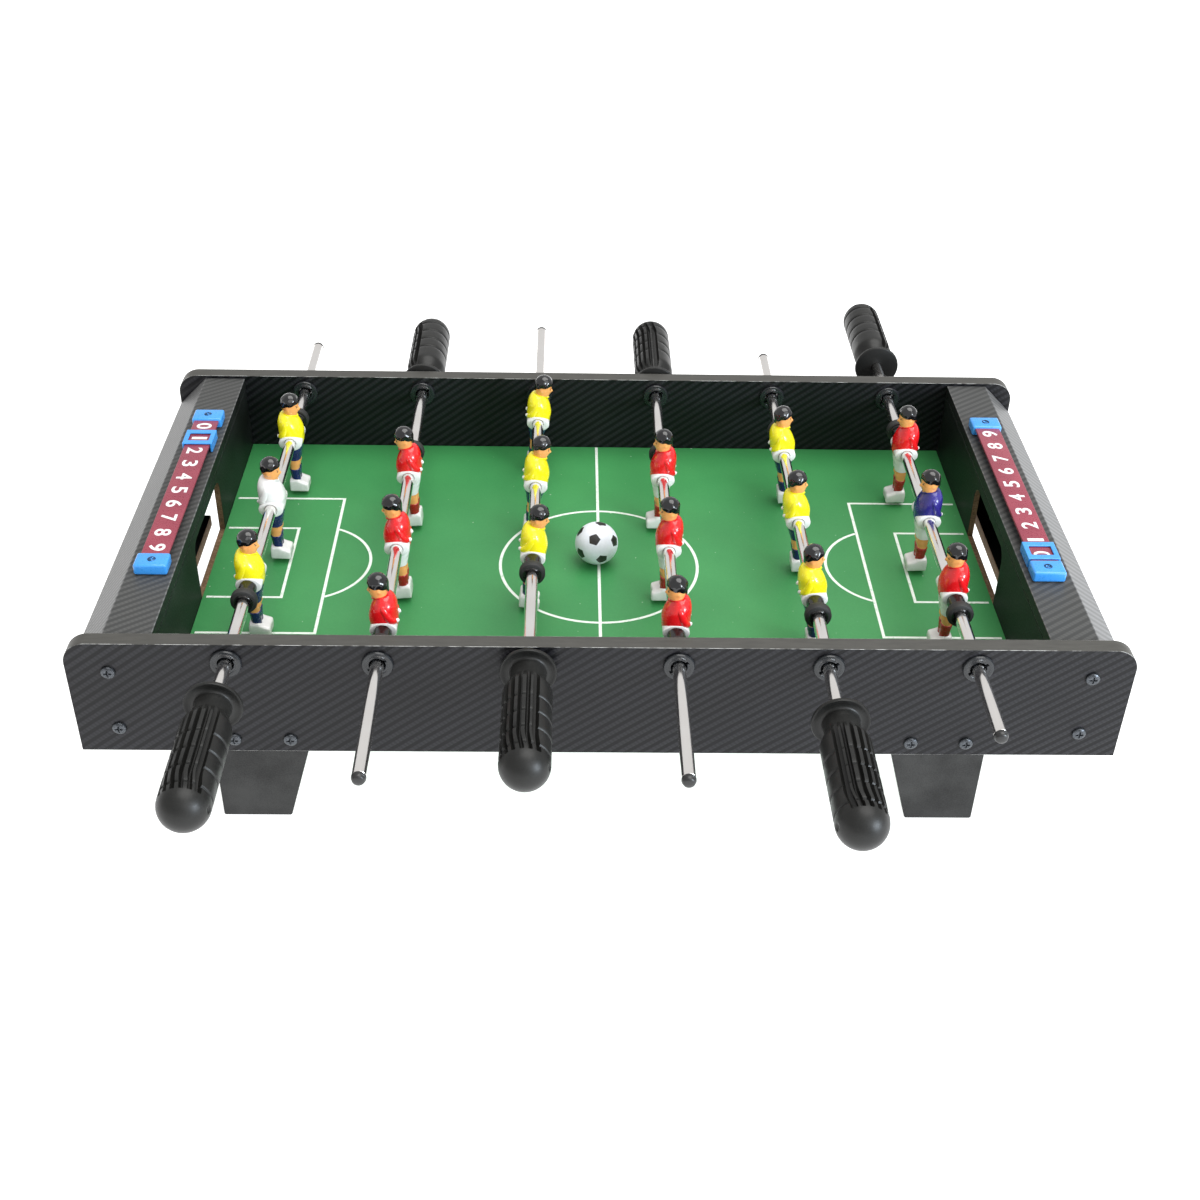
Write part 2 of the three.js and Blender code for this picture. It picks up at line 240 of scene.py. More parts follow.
def speckled(name, dark, light, roughness, grain_height=0.05, per_metre=1400, **sockets):
    """Moulded or coated stuff with a fine, slightly shiny grain."""
    paint = Paint(name, **sockets)
    grain = paint.noise(per_metre, 3)
    cloud = paint.noise(35, 3)
    tone = paint.math("MULTIPLY_ADD", cloud, 0.6, paint.math("MULTIPLY", grain, 0.4))
    paint.set("Base Color", paint.ramp(tone, [(0.36, dark), (0.62, light)]))
    paint.set("Roughness", paint.levels(grain, 0.3, 0.7, roughness - 0.06, roughness + 0.08))
    return paint.bump(grain, grain_height, 0.5).material


def raw_fibreboard():
    """A cut edge of fibreboard: layered brown with short fibres."""
    paint = Paint("raw_fibreboard", Roughness=0.85)
    fibres = paint.noise(420, 4, (1, 1, 3.5), 0.65)
    layers = paint.noise(90, 2, (4, 1, 1))
    tone = paint.math("MULTIPLY_ADD", layers, 0.35, paint.math("MULTIPLY", fibres, 0.65))
    stops = [(0.3, (0.085, 0.047, 0.022)), (0.5, (0.19, 0.112, 0.058)), (0.72, (0.33, 0.215, 0.125))]
    paint.set("Base Color", paint.ramp(tone, stops))
    return paint.bump(fibres, 0.15, 0.6).material


def pitch_print():
    """The printed green board with a faint cloudiness and a few specks of dust."""
    paint = Paint("pitch_print", Roughness=0.42, Specular_IOR_Level=0.45)
    cloud = paint.noise(7, 3)
    grain = paint.noise(900, 2)
    tone = paint.math("MULTIPLY_ADD", cloud, 0.75, paint.math("MULTIPLY", grain, 0.25))
    green = paint.ramp(tone, [(0.3, (0.030, 0.21, 0.060)), (0.7, (0.055, 0.29, 0.088))])
    dust = paint.levels(paint.noise(330, 1), 0.79, 0.81)
    paint.set("Base Color", paint.mix(dust, green, (0.5, 0.62, 0.5)))
    return paint.bump(grain, 0.02, 0.3).material


def marking_ink():
    paint = Paint("marking_ink", Roughness=0.45)
    wear = paint.noise(260, 4, (1, 1, 1), 0.7)
    paint.set("Base Color", paint.ramp(wear, [(0.28, (0.42, 0.62, 0.47)), (0.45, (0.80, 0.86, 0.79))]))
    return paint.bump(wear, 0.02, 0.3).material


def polished_tube():
    """Chrome with drawing marks along the tube."""
    paint = Paint("rod_chrome", Metallic=1.0)
    marks = paint.noise(900, 3, (1, 0.02, 1))
    cloud = paint.noise(25, 2)
    paint.set("Base Color", paint.ramp(cloud, [(0.3, (0.84, 0.81, 0.78)), (0.7, (0.93, 0.91, 0.89))]))
    paint.set("Roughness", paint.levels(marks, 0.3, 0.7, 0.09, 0.22))
    return paint.bump(marks, 0.01, 0.25).material


def gloss_paint(name, colour, shade=0.82, roughness=0.2, depth=0.05):
    """Brushed gloss paint on moulded plastic: thicker and thinner places, a soft orange peel."""
    paint = Paint(name, Coat_Weight=0.35, Coat_Roughness=0.08)
    thickness = paint.noise(170, 3)
    peel = paint.noise(420, 2)
    paint.set("Base Color", paint.ramp(thickness, [(0.3, between(colour, shade)), (0.6, colour)]))
    paint.set("Roughness", paint.levels(peel, 0.3, 0.7, roughness - 0.05, roughness + 0.1))
    return paint.bump(peel, depth, 0.5).material


def dark_steel(name, dark, light):
    paint = Paint(name, Metallic=0.9)
    marks = paint.noise(1500, 3)
    paint.set("Base Color", paint.ramp(marks, [(0.3, dark), (0.7, light)]))
    paint.set("Roughness", paint.levels(marks, 0.3, 0.7, 0.18, 0.38))
    return paint.bump(marks, 0.02, 0.4).material


# Ends of the uprights' colour ramp: near-black with painted shade in the rope gaps, and a painted sheen on
# the raised ropes. The ledge and slope below get the same painted sheen and shade in lighter colours.
ROPE_GAP_SHADE, ROPE_SHEEN = (0.003, 0.003, 0.004), (0.018, 0.018, 0.021)
BAND = (0.048, 0.046, 0.040)

carbon_upright = carbon_wrap("carbon_upright", "xz", ROPE_GAP_SHADE, ROPE_SHEEN)
carbon_ledge = carbon_wrap("carbon_ledge", "xy", (0.042, 0.043, 0.042), (0.078, 0.078, 0.076), 0.45, 0.06)
carbon_slope = carbon_wrap("carbon_slope", "xy", (0.075, 0.076, 0.076), (0.15, 0.15, 0.15), 0.42, 0.08)
edge_band = board_band("edge_band", BAND)
rubbed_edge = worn_edge("rubbed_edge", BAND, (0.55, 0.55, 0.53))
leg_wrap = speckled("leg_wrap", (0.006, 0.006, 0.006), (0.030, 0.030, 0.029), 0.42, 0.09, 1100,
                    Specular_IOR_Level=0.3)
inner_wrap = speckled("inner_wrap", (0.003, 0.004, 0.004), (0.008, 0.010, 0.009), 0.5, 0.02, 700,
                      Specular_IOR_Level=0.3)
raw_board = raw_fibreboard()
pitch_green = pitch_print()
white_ink = marking_ink()
chrome = polished_tube()
handle_plastic = speckled("handle_plastic", (0.007, 0.007, 0.0065), (0.015, 0.015, 0.014), 0.38, 0.06, 1700,
                          Specular_IOR_Level=0.3)
bushing_plastic = speckled("bushing_plastic", (0.008, 0.009, 0.010), (0.017, 0.019, 0.022), 0.24, 0.02)
plug_plastic = speckled("plug_plastic", (0.010, 0.010, 0.010), (0.022, 0.022, 0.022), 0.35, 0.02)
rubber = speckled("bumper_rubber", (0.008, 0.008, 0.008), (0.020, 0.020, 0.019), 0.6, 0.05, 900)
shiny_rubber = speckled("shiny_rubber", (0.006, 0.006, 0.006), (0.012, 0.012, 0.012), 0.2, 0.02, 900)
yellow = gloss_paint("paint_yellow", (0.97, 0.86, 0.012), 0.93)
red = gloss_paint("paint_red", (0.78, 0.010, 0.014), 0.85)
dark_red = gloss_paint("paint_dark_red", (0.40, 0.007, 0.010), 0.75)
white = gloss_paint("paint_white", (0.82, 0.82, 0.80), 0.92)
navy = gloss_paint("paint_navy", (0.010, 0.009, 0.11), 0.6)
purple = gloss_paint("paint_purple", (0.030, 0.024, 0.22), 0.7)
skin = gloss_paint("paint_skin", (0.97, 0.42, 0.13), 0.93)
black = gloss_paint("paint_black", (0.006, 0.006, 0.007), 0.7, 0.09, 0.06)
strip_plastic = speckled("strip_plastic", (0.22, 0.030, 0.052), (0.30, 0.050, 0.075), 0.3, 0.01)
blue_plastic = gloss_paint("blue_plastic", (0.045, 0.30, 0.78), 0.92, 0.28, 0.01)
figure_ink = gloss_paint("figure_ink", (0.82, 0.80, 0.80), 0.92, 0.35, 0.02)
ball_white = speckled("ball_white", (0.72, 0.75, 0.82), (0.82, 0.85, 0.92), 0.38, 0.03, 500)
ball_black = speckled("ball_black", (0.010, 0.009, 0.009), (0.028, 0.024, 0.022), 0.35, 0.03, 500)
steel = dark_steel("screw_steel", (0.035, 0.038, 0.042), (0.13, 0.14, 0.155))
blue_steel = dark_steel("blue_steel", (0.02, 0.06, 0.14), (0.05, 0.14, 0.30))

# ---- building shapes -----------------------------------------------------------------------------


class Shape:
    """Surfaces collected in millimetres, each face with the number of its paint."""

    def __init__(self):
        self.points, self.faces, self.paints = [], [], []

    def face(self, indices, paint):
        self.faces.append(tuple(indices))
        self.paints.append(paint)

    def skin(self, rings, paint=0, closed=False):
        """Faces between rings of equal length. An open skin gets a cap at each end.

        `paint` is a number, or a function that gives it for the number of a ring.
        """
        tint = paint if callable(paint) else lambda row: paint
        start, count = len(self.points), len(rings[0])
        for ring in rings:
            self.points.extend(Vector(point) for point in ring)
        for row in range(len(rings) if closed else len(rings) - 1):
            here, there = start + row * count, start + (row + 1) % len(rings) * count
            for i in range(count):
                j = (i + 1) % count
                self.face((here + i, here + j, there + j, there + i), tint(row))
        if not closed:
            last = start + (len(rings) - 1) * count
            self.face((start + i for i in reversed(range(count))), tint(0))
            self.face((last + i for i in range(count)), tint(len(rings) - 2))
        return self

    def mesh(self, name, paints, sharp=38):
        mesh = bpy.data.meshes.new(name)
        mesh.from_pydata([point * MM for point in self.points], [], self.faces)
        for paint in paints:
            mesh.materials.append(paint)
        mesh.polygons.foreach_set("material_index", self.paints)
        return finished(mesh, sharp)


def finished(mesh, sharp):
    """Turns the faces outward and shades them smooth up to an angle."""
    work = bmesh.new()
    work.from_mesh(mesh)
    bmesh.ops.recalc_face_normals(work, faces=work.faces)
    work.to_mesh(mesh)
    work.free()
    mesh.polygons.foreach_set("use_smooth", [True] * len(mesh.polygons))
    mesh.set_sharp_from_angle(angle=math.radians(sharp))
    return mesh


def linked(name, data):
    """A new object in the scene."""
    thing = bpy.data.objects.new(name, data)
    bpy.context.scene.collection.objects.link(thing)
    return thing


def from_work(work, name, paints, sharp):
    """Makes a mesh of an edited bmesh, which is freed."""
    mesh = bpy.data.meshes.new(name)
    work.to_mesh(mesh)
    work.free()
    for paint in paints:
        mesh.materials.append(paint)
    return finished(mesh, sharp)


def put(name, mesh, body, place=(0, 0, 0), turn=0.0, roll=0.0):
    """A piece at a place in millimetres, turned about +Z and then rolled about +Y by degrees."""
    piece = linked(name, mesh)
    piece.location = Vector(place) * MM
    spin = Matrix.Rotation(math.radians(roll), 3, "Y") @ Matrix.Rotation(math.radians(turn), 3, "Z")
    piece.rotation_euler = spin.to_euler()
    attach(piece, body)
    return piece


def turned(profile, count=48):
    """Rings about the Y axis from (radius, along) pairs."""
    return [[(radius * math.cos(TURN * i / count), along, radius * math.sin(TURN * i / count))
             for i in range(count)] for radius, along in profile]


def arc(centre, radius, start, end, steps):
    """Points (a, b) on an arc about a centre, angles in degrees."""
    angles = [math.radians(start + (end - start) * i / steps) for i in range(steps + 1)]
    return [(centre[0] + radius * math.cos(a), centre[1] + radius * math.sin(a)) for a in angles]


def smooth_rows(keys, steps):
    """Rows of numbers on a smooth curve through the given rows."""
    rows = []
    for index in range(len(keys) - 1):
        before, here = keys[max(index - 1, 0)], keys[index]
        there, after = keys[index + 1], keys[min(index + 2, len(keys) - 1)]
        for step in range(steps):
            t = step / steps
            rows.append([
                0.5 * (2 * b + (c - a) * t + (2 * a - 5 * b + 4 * c - d) * t ** 2
                       + (3 * b - a - 3 * c + d) * t ** 3)
                for a, b, c, d in zip(before, here, there, after)])
    rows.append(list(keys[-1]))
    return rows


def rounded(angle, half_a, half_b, power):
    """A point on a rounded rectangle; power 2 is an ellipse."""
    c, s = math.cos(angle), math.sin(angle)
    return (half_a * math.copysign(abs(c) ** (2 / power), c),
            half_b * math.copysign(abs(s) ** (2 / power), s))


def hump(value, middle, width):
    """1 at the middle, falling to 0 over about twice the width."""
    return math.exp(-((value - middle) / width) ** 2)


def ease(value, low, high):
    t = min(max((value - low) / (high - low), 0), 1)
    return t * t * (3 - 2 * t)


# ---- boards --------------------------------------------------------------------------------------


def board(node, paints, rule, edge_paint, bevel=0.6):
    """A copy of a CAD board with rounded edges. `rule` picks a face's paint from its normal and middle."""
    source = frame["nodes"][node]
    mesh = source.data.copy()
    mesh.materials.clear()
    for paint in paints:
        mesh.materials.append(paint)
    work = bmesh.new()
    work.from_mesh(mesh)
    bmesh.ops.remove_doubles(work, verts=work.verts, dist=0.01 * MM)
    bmesh.ops.dissolve_limit(work, angle_limit=math.radians(0.5), verts=work.verts, edges=work.edges)
    work.normal_update()
    for face in work.faces:
        face.material_index = rule(face.normal, face.calc_center_median() / MM)
    corners = [edge for edge in work.edges if edge.calc_face_angle(0) > math.radians(30)]
    bmesh.ops.bevel(work, geom=corners, offset=bevel * MM, segments=2, profile=0.6,
                    affect="EDGES", clamp_overlap=True, material=edge_paint)
    work.to_mesh(mesh)
    work.free()
    piece = put(f"{node}_shaped", finished(mesh, 50), source["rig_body"])
    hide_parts(node)
    piece.modifiers.new("Even normals", "WEIGHTED_NORMAL").keep_sharp = True
    return piece


def flat_or_edge(axis):
    """Paint 0 on the two large faces across an axis, paint 1 on the rest."""
    return lambda normal, middle: 0 if abs(getattr(normal, axis)) > 0.9 else 1


GOAL_HALF = 46.5
GOAL_TOP_DROP = 19


def goal_wall_rule(normal, middle):
    """Raw board inside the mouth, wrap elsewhere."""
    if abs(normal.x) > 0.9:
        return 0
    inside = abs(middle.y - MIDDLE) < GOAL_HALF + 2 and middle.z < TOP - GOAL_TOP_DROP + 2
    return 1 if inside and middle.z > field_low.z else 0


def end_board_rule(normal, middle):
    """Ledge weave on top, slope weave on the slope and the outer face, plain wrap underneath."""
    if normal.z > 0.9:
        return 0
    outward = normal.x * math.copysign(1, middle.x)
    return 1 if outward > 0.3 and abs(middle.x) > 320 else 2


def shelf_rule(normal, middle):
    """A wrapped top and raw edges."""
    return 0 if normal.z > 0.9 else 1


for side in SIDES:
    board(f"side_panel_{side}", [carbon_upright, edge_band, rubbed_edge],
          flat_or_edge("y"), 2)
    for end in ENDS:
        board(f"leg_{side}_{end}", [leg_wrap, leg_wrap], flat_or_edge("y"), 1)
for end in ENDS:
    board(f"goal_wall_{end}", [inner_wrap, raw_board], goal_wall_rule, 0, 0.3)
    board(f"end_board_{end}", [carbon_ledge, carbon_slope, inner_wrap], end_board_rule, 1)
    board(f"ball_shelf_{end}", [inner_wrap, raw_board], shelf_rule, 1, 0.3)
frame["nodes"]["playfield"].data.materials.clear()
frame["nodes"]["playfield"].data.materials.append(pitch_green)

# ---- pitch markings ------------------------------------------------------------------------------
LINE = 2.2
INK_LOW, INK_HIGH = 0.03, 0.12         # the ink stands this far above the board
CIRCLE_RADIUS = 74.5
PENALTY_X, PENALTY_Y = 202.5, 89.6
AREA_X, AREA_Y = 232.7, 46.1
LINE_END_X = 287
ARC_RADIUS, ARC_APEX_X = 49.5, 172.5


def ribbon(shape, points, closed=False):
    """A flat ink line through points (x, y), mitred at its corners."""
    count = len(points)
    rings = []
    for index, (x, y) in enumerate(points):
        before = Vector(points[index - 1]) if closed or index else None
        after = Vector(points[(index + 1) % count]) if closed or index < count - 1 else None
        here = Vector((x, y))
        steps = [(b - a).normalized() for a, b in ((before, here), (here, after)) if a and b]
        along = sum(steps, Vector((0, 0))).normalized()
        across = Vector((-along.y, along.x)) * LINE / 2 / along.dot(steps[0])
        corners = [(here - across, INK_LOW), (here + across, INK_LOW),
                   (here + across, INK_HIGH), (here - across, INK_HIGH)]
        rings.append([(p.x, p.y + MIDDLE, FIELD_TOP + z) for p, z in corners])
    shape.skin(rings, closed=closed)


def markings():
    shape = Shape()
    ribbon(shape, arc((0, 0), CIRCLE_RADIUS, 0, 357.5, 143), closed=True)
    edge = FIELD_HALF_WIDTH - 0.5
    inner, outer = CIRCLE_RADIUS - LINE / 2, CIRCLE_RADIUS + LINE / 2
    for low, high in ((-edge, -outer), (-inner, inner), (outer, edge)):
        ribbon(shape, [(0, low), (0, high)])
    bow_half = math.degrees(math.acos(1 - (PENALTY_X - LINE / 2 - ARC_APEX_X) / ARC_RADIUS))
    for side in ENDS.values():
        for x, y in ((PENALTY_X, PENALTY_Y), (AREA_X, AREA_Y)):
            corners = [(LINE_END_X, -y), (x, -y), (x, y), (LINE_END_X, y)]
            ribbon(shape, [(side * a, b) for a, b in corners])
        bow = arc((ARC_APEX_X + ARC_RADIUS, 0), ARC_RADIUS, 180 - bow_half, 180 + bow_half, 40)
        ribbon(shape, [(side * a, b) for a, b in bow])
    return shape.mesh("pitch_markings", [white_ink])


put("pitch_markings", markings(), "table")

# ---- rods ----------------------------------------------------------------------------------------
# Each is drawn along +Y with the middle player at 0 and the handle at the +Y end.
ROD_RADIUS, ROD_BORE = 4.4, 3.4
PLAYER_HOLE = 4.5
BUMPER_START, BUMPER_NECK_END, BUMPER_END = 13.2, 25.2, 31.9
PLAYER_PITCH = 96.6
handle_low, handle_high = box_mm("rod_1_handle")
HANDLE_LENGTH = handle_high.y - handle_low.y
HANDLE_BORE = 72
GRIP, NECK, FLANGE = 15.9, 11.5, 18.4    # radii of the handle
NECK_END, GRIP_START = 16, 25.5
SLOT_FLOOR = 11.8
SLOT_END = 93
SLOT_PITCH, SLOT_COUNT = 18.5, 10
SLOT_WIDTH, END_SLOT_WIDTH = 10.0, 15.5   # degrees round the grip
SLOT_SWEEP = 9                            # the slots bend by these degrees at their ends
GROOVES = [42 + 15 * step for step in range(4)]
GROOVE_DEPTH, GROOVE_WIDTH = 1.3, 0.7
NOTCHES = (217, 305)                      # degrees round the smooth half
NOTCH_ALONG, NOTCH_DEPTH = 95, 1.5
NOTCH_SPREAD, NOTCH_WIDTH = 10, 1.8       # degrees round, millimetres along


def tube(length_low, length_high):
    lip = 0.35
    profile = [(ROD_BORE, length_low + lip), (ROD_BORE + lip, length_low),
               (ROD_RADIUS - lip, length_low), (ROD_RADIUS, length_low + lip),
               (ROD_RADIUS, length_high - lip), (ROD_RADIUS - lip, length_high),
               (ROD_BORE + lip, length_high), (ROD_BORE, length_high - lip)]
    return Shape().skin(turned(profile, 48), closed=True).mesh("rod_tube", [chrome])


def end_plug(end):
    """The black plug in the bare end: a collar as wide as the tube and a narrower tip."""
    inner, collar, tip = ROD_BORE - 0.1, ROD_RADIUS + 0.1, 3.9
    tip_start, tip_length = end - 3.2, 1.5
    dome = [(tip * math.cos(a), tip_start - tip_length * math.sin(a)) for a in (0, 0.4, 0.8, 1.2, 1.45)]
    profile = [(0.2, end + 9), (inner, end + 8.6), (inner, end), (collar, end - 0.1),
               (collar + 0.05, end - 0.5), (collar, end - 1.7), (collar - 0.4, end - 2.1), *dome]
    return Shape().skin(turned(profile, 40)).mesh("rod_plug", [plug_plastic])


def bumper():
    """A black stop: a long shiny neck against the player and a wide matt ring."""
    neck, ring, hole = 6.1, 9.1, ROD_RADIUS + 0.15
    profile = [(hole, BUMPER_START), (neck - 0.5, BUMPER_START), (neck, BUMPER_START + 0.5),
               (neck, BUMPER_NECK_END - 0.6), (neck + 0.5, BUMPER_NECK_END), (ring - 1.2, BUMPER_NECK_END),
               (ring - 0.3, BUMPER_NECK_END + 0.5), (ring, BUMPER_NECK_END + 1.5), (ring, BUMPER_END - 1.7),
               (ring - 0.4, BUMPER_END - 0.6), (ring - 1.4, BUMPER_END), (neck + 0.4, BUMPER_END),
               (neck - 0.4, BUMPER_END - 0.7), (hole, BUMPER_END - 0.8)]
    matt = [radius > neck + 0.6 for radius, along in profile]
    shape = Shape().skin(turned(profile, 56), lambda row: 1 if matt[row] else 0, closed=True)
    return shape.mesh("bumper", [shiny_rubber, rubber])


def handle_angles():
    """Angles round the grip in degrees, close together at the slots' walls, and each slot's middle."""
    middles = [SLOT_PITCH * i for i in range(SLOT_COUNT)]
    angles = []
    for index, middle in enumerate(middles):
        half = (END_SLOT_WIDTH if index in (0, SLOT_COUNT - 1) else SLOT_WIDTH) / 2
        angles += [(middle + part, half - abs(part)) for part in
                   (-half - 1.2, -half - 0.2, -half + 1, -half / 2, 0, half / 2, half - 1,
                    half + 0.2, half + 1.2)]
    start, end = middles[-1] + END_SLOT_WIDTH / 2 + 4, 360 - END_SLOT_WIDTH / 2 - 4
    steps = 42
    angles += [(start + (end - start) * i / steps, -9) for i in range(steps + 1)]
    return angles


def grip_radius(along):
    """The smooth outside of the handle from the neck to the dome, without slots or grooves."""
    if along < GRIP_START:
        return NECK + (GRIP - NECK) * ease(along, NECK_END - 2, GRIP_START) ** 0.8
    if along > HANDLE_LENGTH - GRIP:
        rest = min((along - HANDLE_LENGTH + GRIP) / GRIP, 1)
        return GRIP * math.sqrt(max(1 - rest * rest, 0))
    return GRIP


def handle_ring(along, angles):
    """One ring of the handle, with its slots, grooves and notches."""
    outside = grip_radius(along)
    groove = sum(GROOVE_DEPTH * hump(along, middle, GROOVE_WIDTH) for middle in GROOVES)
    sweep = SLOT_SWEEP * ease(along, 76, 94)
    ring = []
    for angle, depth in angles:
        radius = outside - groove
        if depth > 0 and along < SLOT_END:
            floor = GRIP - (GRIP - SLOT_FLOOR) * math.sqrt(1 - ease(along, SLOT_END - 5, SLOT_END) ** 2)
            radius = min(radius, floor + 0.5 * (1 - ease(depth, 0, 3)))
        for notch in NOTCHES:
            pit = 1 - ((angle - notch) / NOTCH_SPREAD) ** 2 - ((along - NOTCH_ALONG) / NOTCH_WIDTH) ** 2
            radius -= NOTCH_DEPTH * ease(pit, 0, 0.5)
        bend = sweep * (1 - ease(angle, 190, 300)) if angle < 330 else 0
        turn = math.radians(angle + bend)
        ring.append((radius * math.cos(turn), along, radius * math.sin(turn)))
    return ring


def handle():
    """Flange, neck, ribbed grip and round end, with a blind bore for the tube."""
    angles = handle_angles()
    bore = ROD_RADIUS + 0.2
    start = [(0.3, HANDLE_BORE), (bore, HANDLE_BORE), (bore, 0), (FLANGE - 0.9, 0), (FLANGE - 0.2, 0.35),
             (FLANGE, 1.1), (FLANGE, 2.3), (FLANGE - 0.25, 2.85), (FLANGE - 0.9, 3.0),
             (FLANGE - 1.6, 2.6), (FLANGE - 3.2, 2.0), (NECK + 1.6, 1.9), (NECK + 0.5, 2.4), (NECK, 3.6),
             (NECK, 9)]
    rings = [[(r * math.cos(math.radians(a)), y, r * math.sin(math.radians(a))) for a, _ in angles]
             for r, y in start]
    places = {NECK_END - 2 + 1.1 * step for step in range(11)} | {GRIP_START + 3, GRIP_START + 6}
    for middle in GROOVES:
        places |= {middle + step for step in (-5, -1.6, -0.9, -0.45, 0, 0.45, 0.9, 1.6, 5)}
    places |= {SLOT_END - 7 + 0.7 * step for step in range(11)}
    dome = [HANDLE_LENGTH - GRIP + GRIP * math.sin(math.radians(2.5 + 3.5 * step)) for step in range(25)]
    rings += [handle_ring(along, angles) for along in sorted(places | set(dome))]
    return Shape().skin(rings).mesh("handle", [handle_plastic], 50)


def bushing(reach, flange):
    """A flanged bush seen on both faces of the panel, with two small notches at each mouth."""
    outer = reach - 2.2
    bore, barrel = 5.1, 6.6
    half = [(bore, 0), (bore, reach - 1.4), (bore + 0.5, reach - 0.7), (bore + 1.6, reach - 0.75),
            (bore + 2.1, reach - 0.35), (flange - 1.6, reach - 0.1), (flange - 0.6, reach - 0.35),
            (flange, reach - 1.2), (flange, outer + 0.1), (flange - 0.4, outer), (barrel, outer)]
    profile = half + [(radius, -along) for radius, along in reversed(half[1:])]
    around, first_notch = 72, (6, 7, 8)
    notches = first_notch + tuple(index + around // 2 for index in first_notch)
    wider, deeper = 1.22, 1.1
    rings = turned(profile, around)
    for row, (radius, along) in enumerate(profile):
        if radius < bore + 1.7 and abs(along) > reach - 1.5:
            for index in notches:
                x, y, z = rings[row][index]
                rings[row][index] = (x * wider, y - math.copysign(deeper, along), z * wider)
    return Shape().skin(rings, closed=True).mesh("bushing", [bushing_plastic])


# ---- players -------------------------------------------------------------------------------------
# A player faces +X, with the rod's axis at the origin.
SHIRT, SKIN, HAIR, TRIM, SHORTS, SOCKS, SHOES = range(7)
AROUND = 32


def oval(height, x, half_depth, half_width, power=2.0, cleft=0.0):
    """A level ring. `cleft` draws its front and back in between the legs."""
    ring = []
    for index in range(AROUND):
        a, b = rounded(TURN * index / AROUND, half_depth, half_width, power)
        ring.append((x + a * (1 - cleft * hump(b, 0, 1.7)), b, height))
    return ring


def shirt(shape):
    keys = [(-5.6, 0, 6.0, 8.4, 2.6), (-4.6, 0, 8.0, 10.2, 2.6), (-1.5, 0, 9.2, 11.2, 2.5),
            (3, -0.1, 9.6, 11.7, 2.4), (7, -0.1, 9.7, 11.8, 2.3), (13, -1.2, 8.9, 11.6, 2.2),
            (17, -2.0, 7.5, 10.4, 2.1), (19.6, -2.3, 6.2, 8.4, 2.0), (21.4, -2.0, 5.2, 6.0, 2.0),
            (22, -1.8, 4.0, 4.8, 2.0)]
    shape.skin([oval(*row) for row in smooth_rows(keys, 4)], SHIRT)


def limb(shape, keys, paint, count=14):
    """A round limb through (x, y, z, radius) keys, closed with small caps."""
    rows = smooth_rows(keys, 4)
    rings = []
    for index, (x, y, z, radius) in enumerate(rows):
        ahead = Vector(rows[min(index + 1, len(rows) - 1)][:3])
        along = (ahead - Vector(rows[max(index - 1, 0)][:3])).normalized()
        side = along.cross(Vector((0, 0, 1))).normalized()
        up = side.cross(along)
        rings.append([Vector((x, y, z)) + side * radius * math.cos(TURN * i / count)
                      + up * radius * math.sin(TURN * i / count) for i in range(count)])
    shape.skin(rings, paint)


def arms_and_hands(shape):
    for side in (-1, 1):
        limb(shape, [(-1.6, side * 7.5, 17.4, 1.6), (-2.0, side * 9.2, 15.4, 2.6),
                     (-3.4, side * 9.7, 11, 2.8), (-5.4, side * 9.3, 6.8, 2.7),
                     (-7.4, side * 7.6, 4.6, 2.3), (-8.2, side * 6.6, 4.1, 1.5)], SHIRT)
        limb(shape, [(-7.6, side * 6.8, 4.3, 0.8), (-8.4, side * 6.2, 3.9, 1.4),
                     (-9.4, side * 5.2, 3.5, 1.5), (-9.9, side * 4.4, 3.5, 1.1),
                     (-10.1, side * 4.0, 3.5, 0.4)], TRIM)


def collar(shape):
    """A raised neckband that dips to a V at the throat, with bare skin inside it."""
    keys = []
    for index in range(40):
        angle = TURN * index / 40
        dip = max(math.cos(angle), 0) ** 4
        keys.append((-0.6 + (4.9 + 1.4 * dip) * math.cos(angle), 5.2 * math.sin(angle) * (1 - 0.25 * dip),
                     21.2 - 2.2 * dip))
    rings = []
    for x, y, z in keys:
        outward = Vector((x + 0.6, y, 0)).normalized()
        rings.append([Vector((x, y, z)) + outward * 0.75 * math.cos(t) + Vector((0, 0, 0.75 * math.sin(t)))
                      for t in (TURN * i / 8 for i in range(8))])
    shape.skin(rings, SHIRT, closed=True)
    throat = [(22, 0.6, 3.4, 3.4), (20.4, 2.0, 3.3, 3.0), (19.2, 2.6, 3.0, 1.8), (18.2, 2.8, 2.2, 0.5)]
    shape.skin([oval(*row) for row in smooth_rows(throat, 3)], SKIN)


def hip_boss(shape):
    """The white waist: an oval boss round the rod, a little proud of the shirt at both sides."""
    half, count = 12.2, 48
    sizes = [(PLAYER_HOLE, PLAYER_HOLE, 0.5), (PLAYER_HOLE + 0.4, PLAYER_HOLE + 0.4, 0), (8.2, 5.7, 0),
             (8.8, 6.2, 0.3), (9.0, 6.4, 1.0)]
    oval_rows = [(a, b, inset - half) for a, b, inset in sizes]
    oval_rows += [(a, b, half - inset) for a, b, inset in reversed(sizes)]
    shape.skin([[(a * math.cos(t), y, b * math.sin(t)) for t in (TURN * i / count for i in range(count))]
                for a, b, y in oval_rows], TRIM, closed=True)


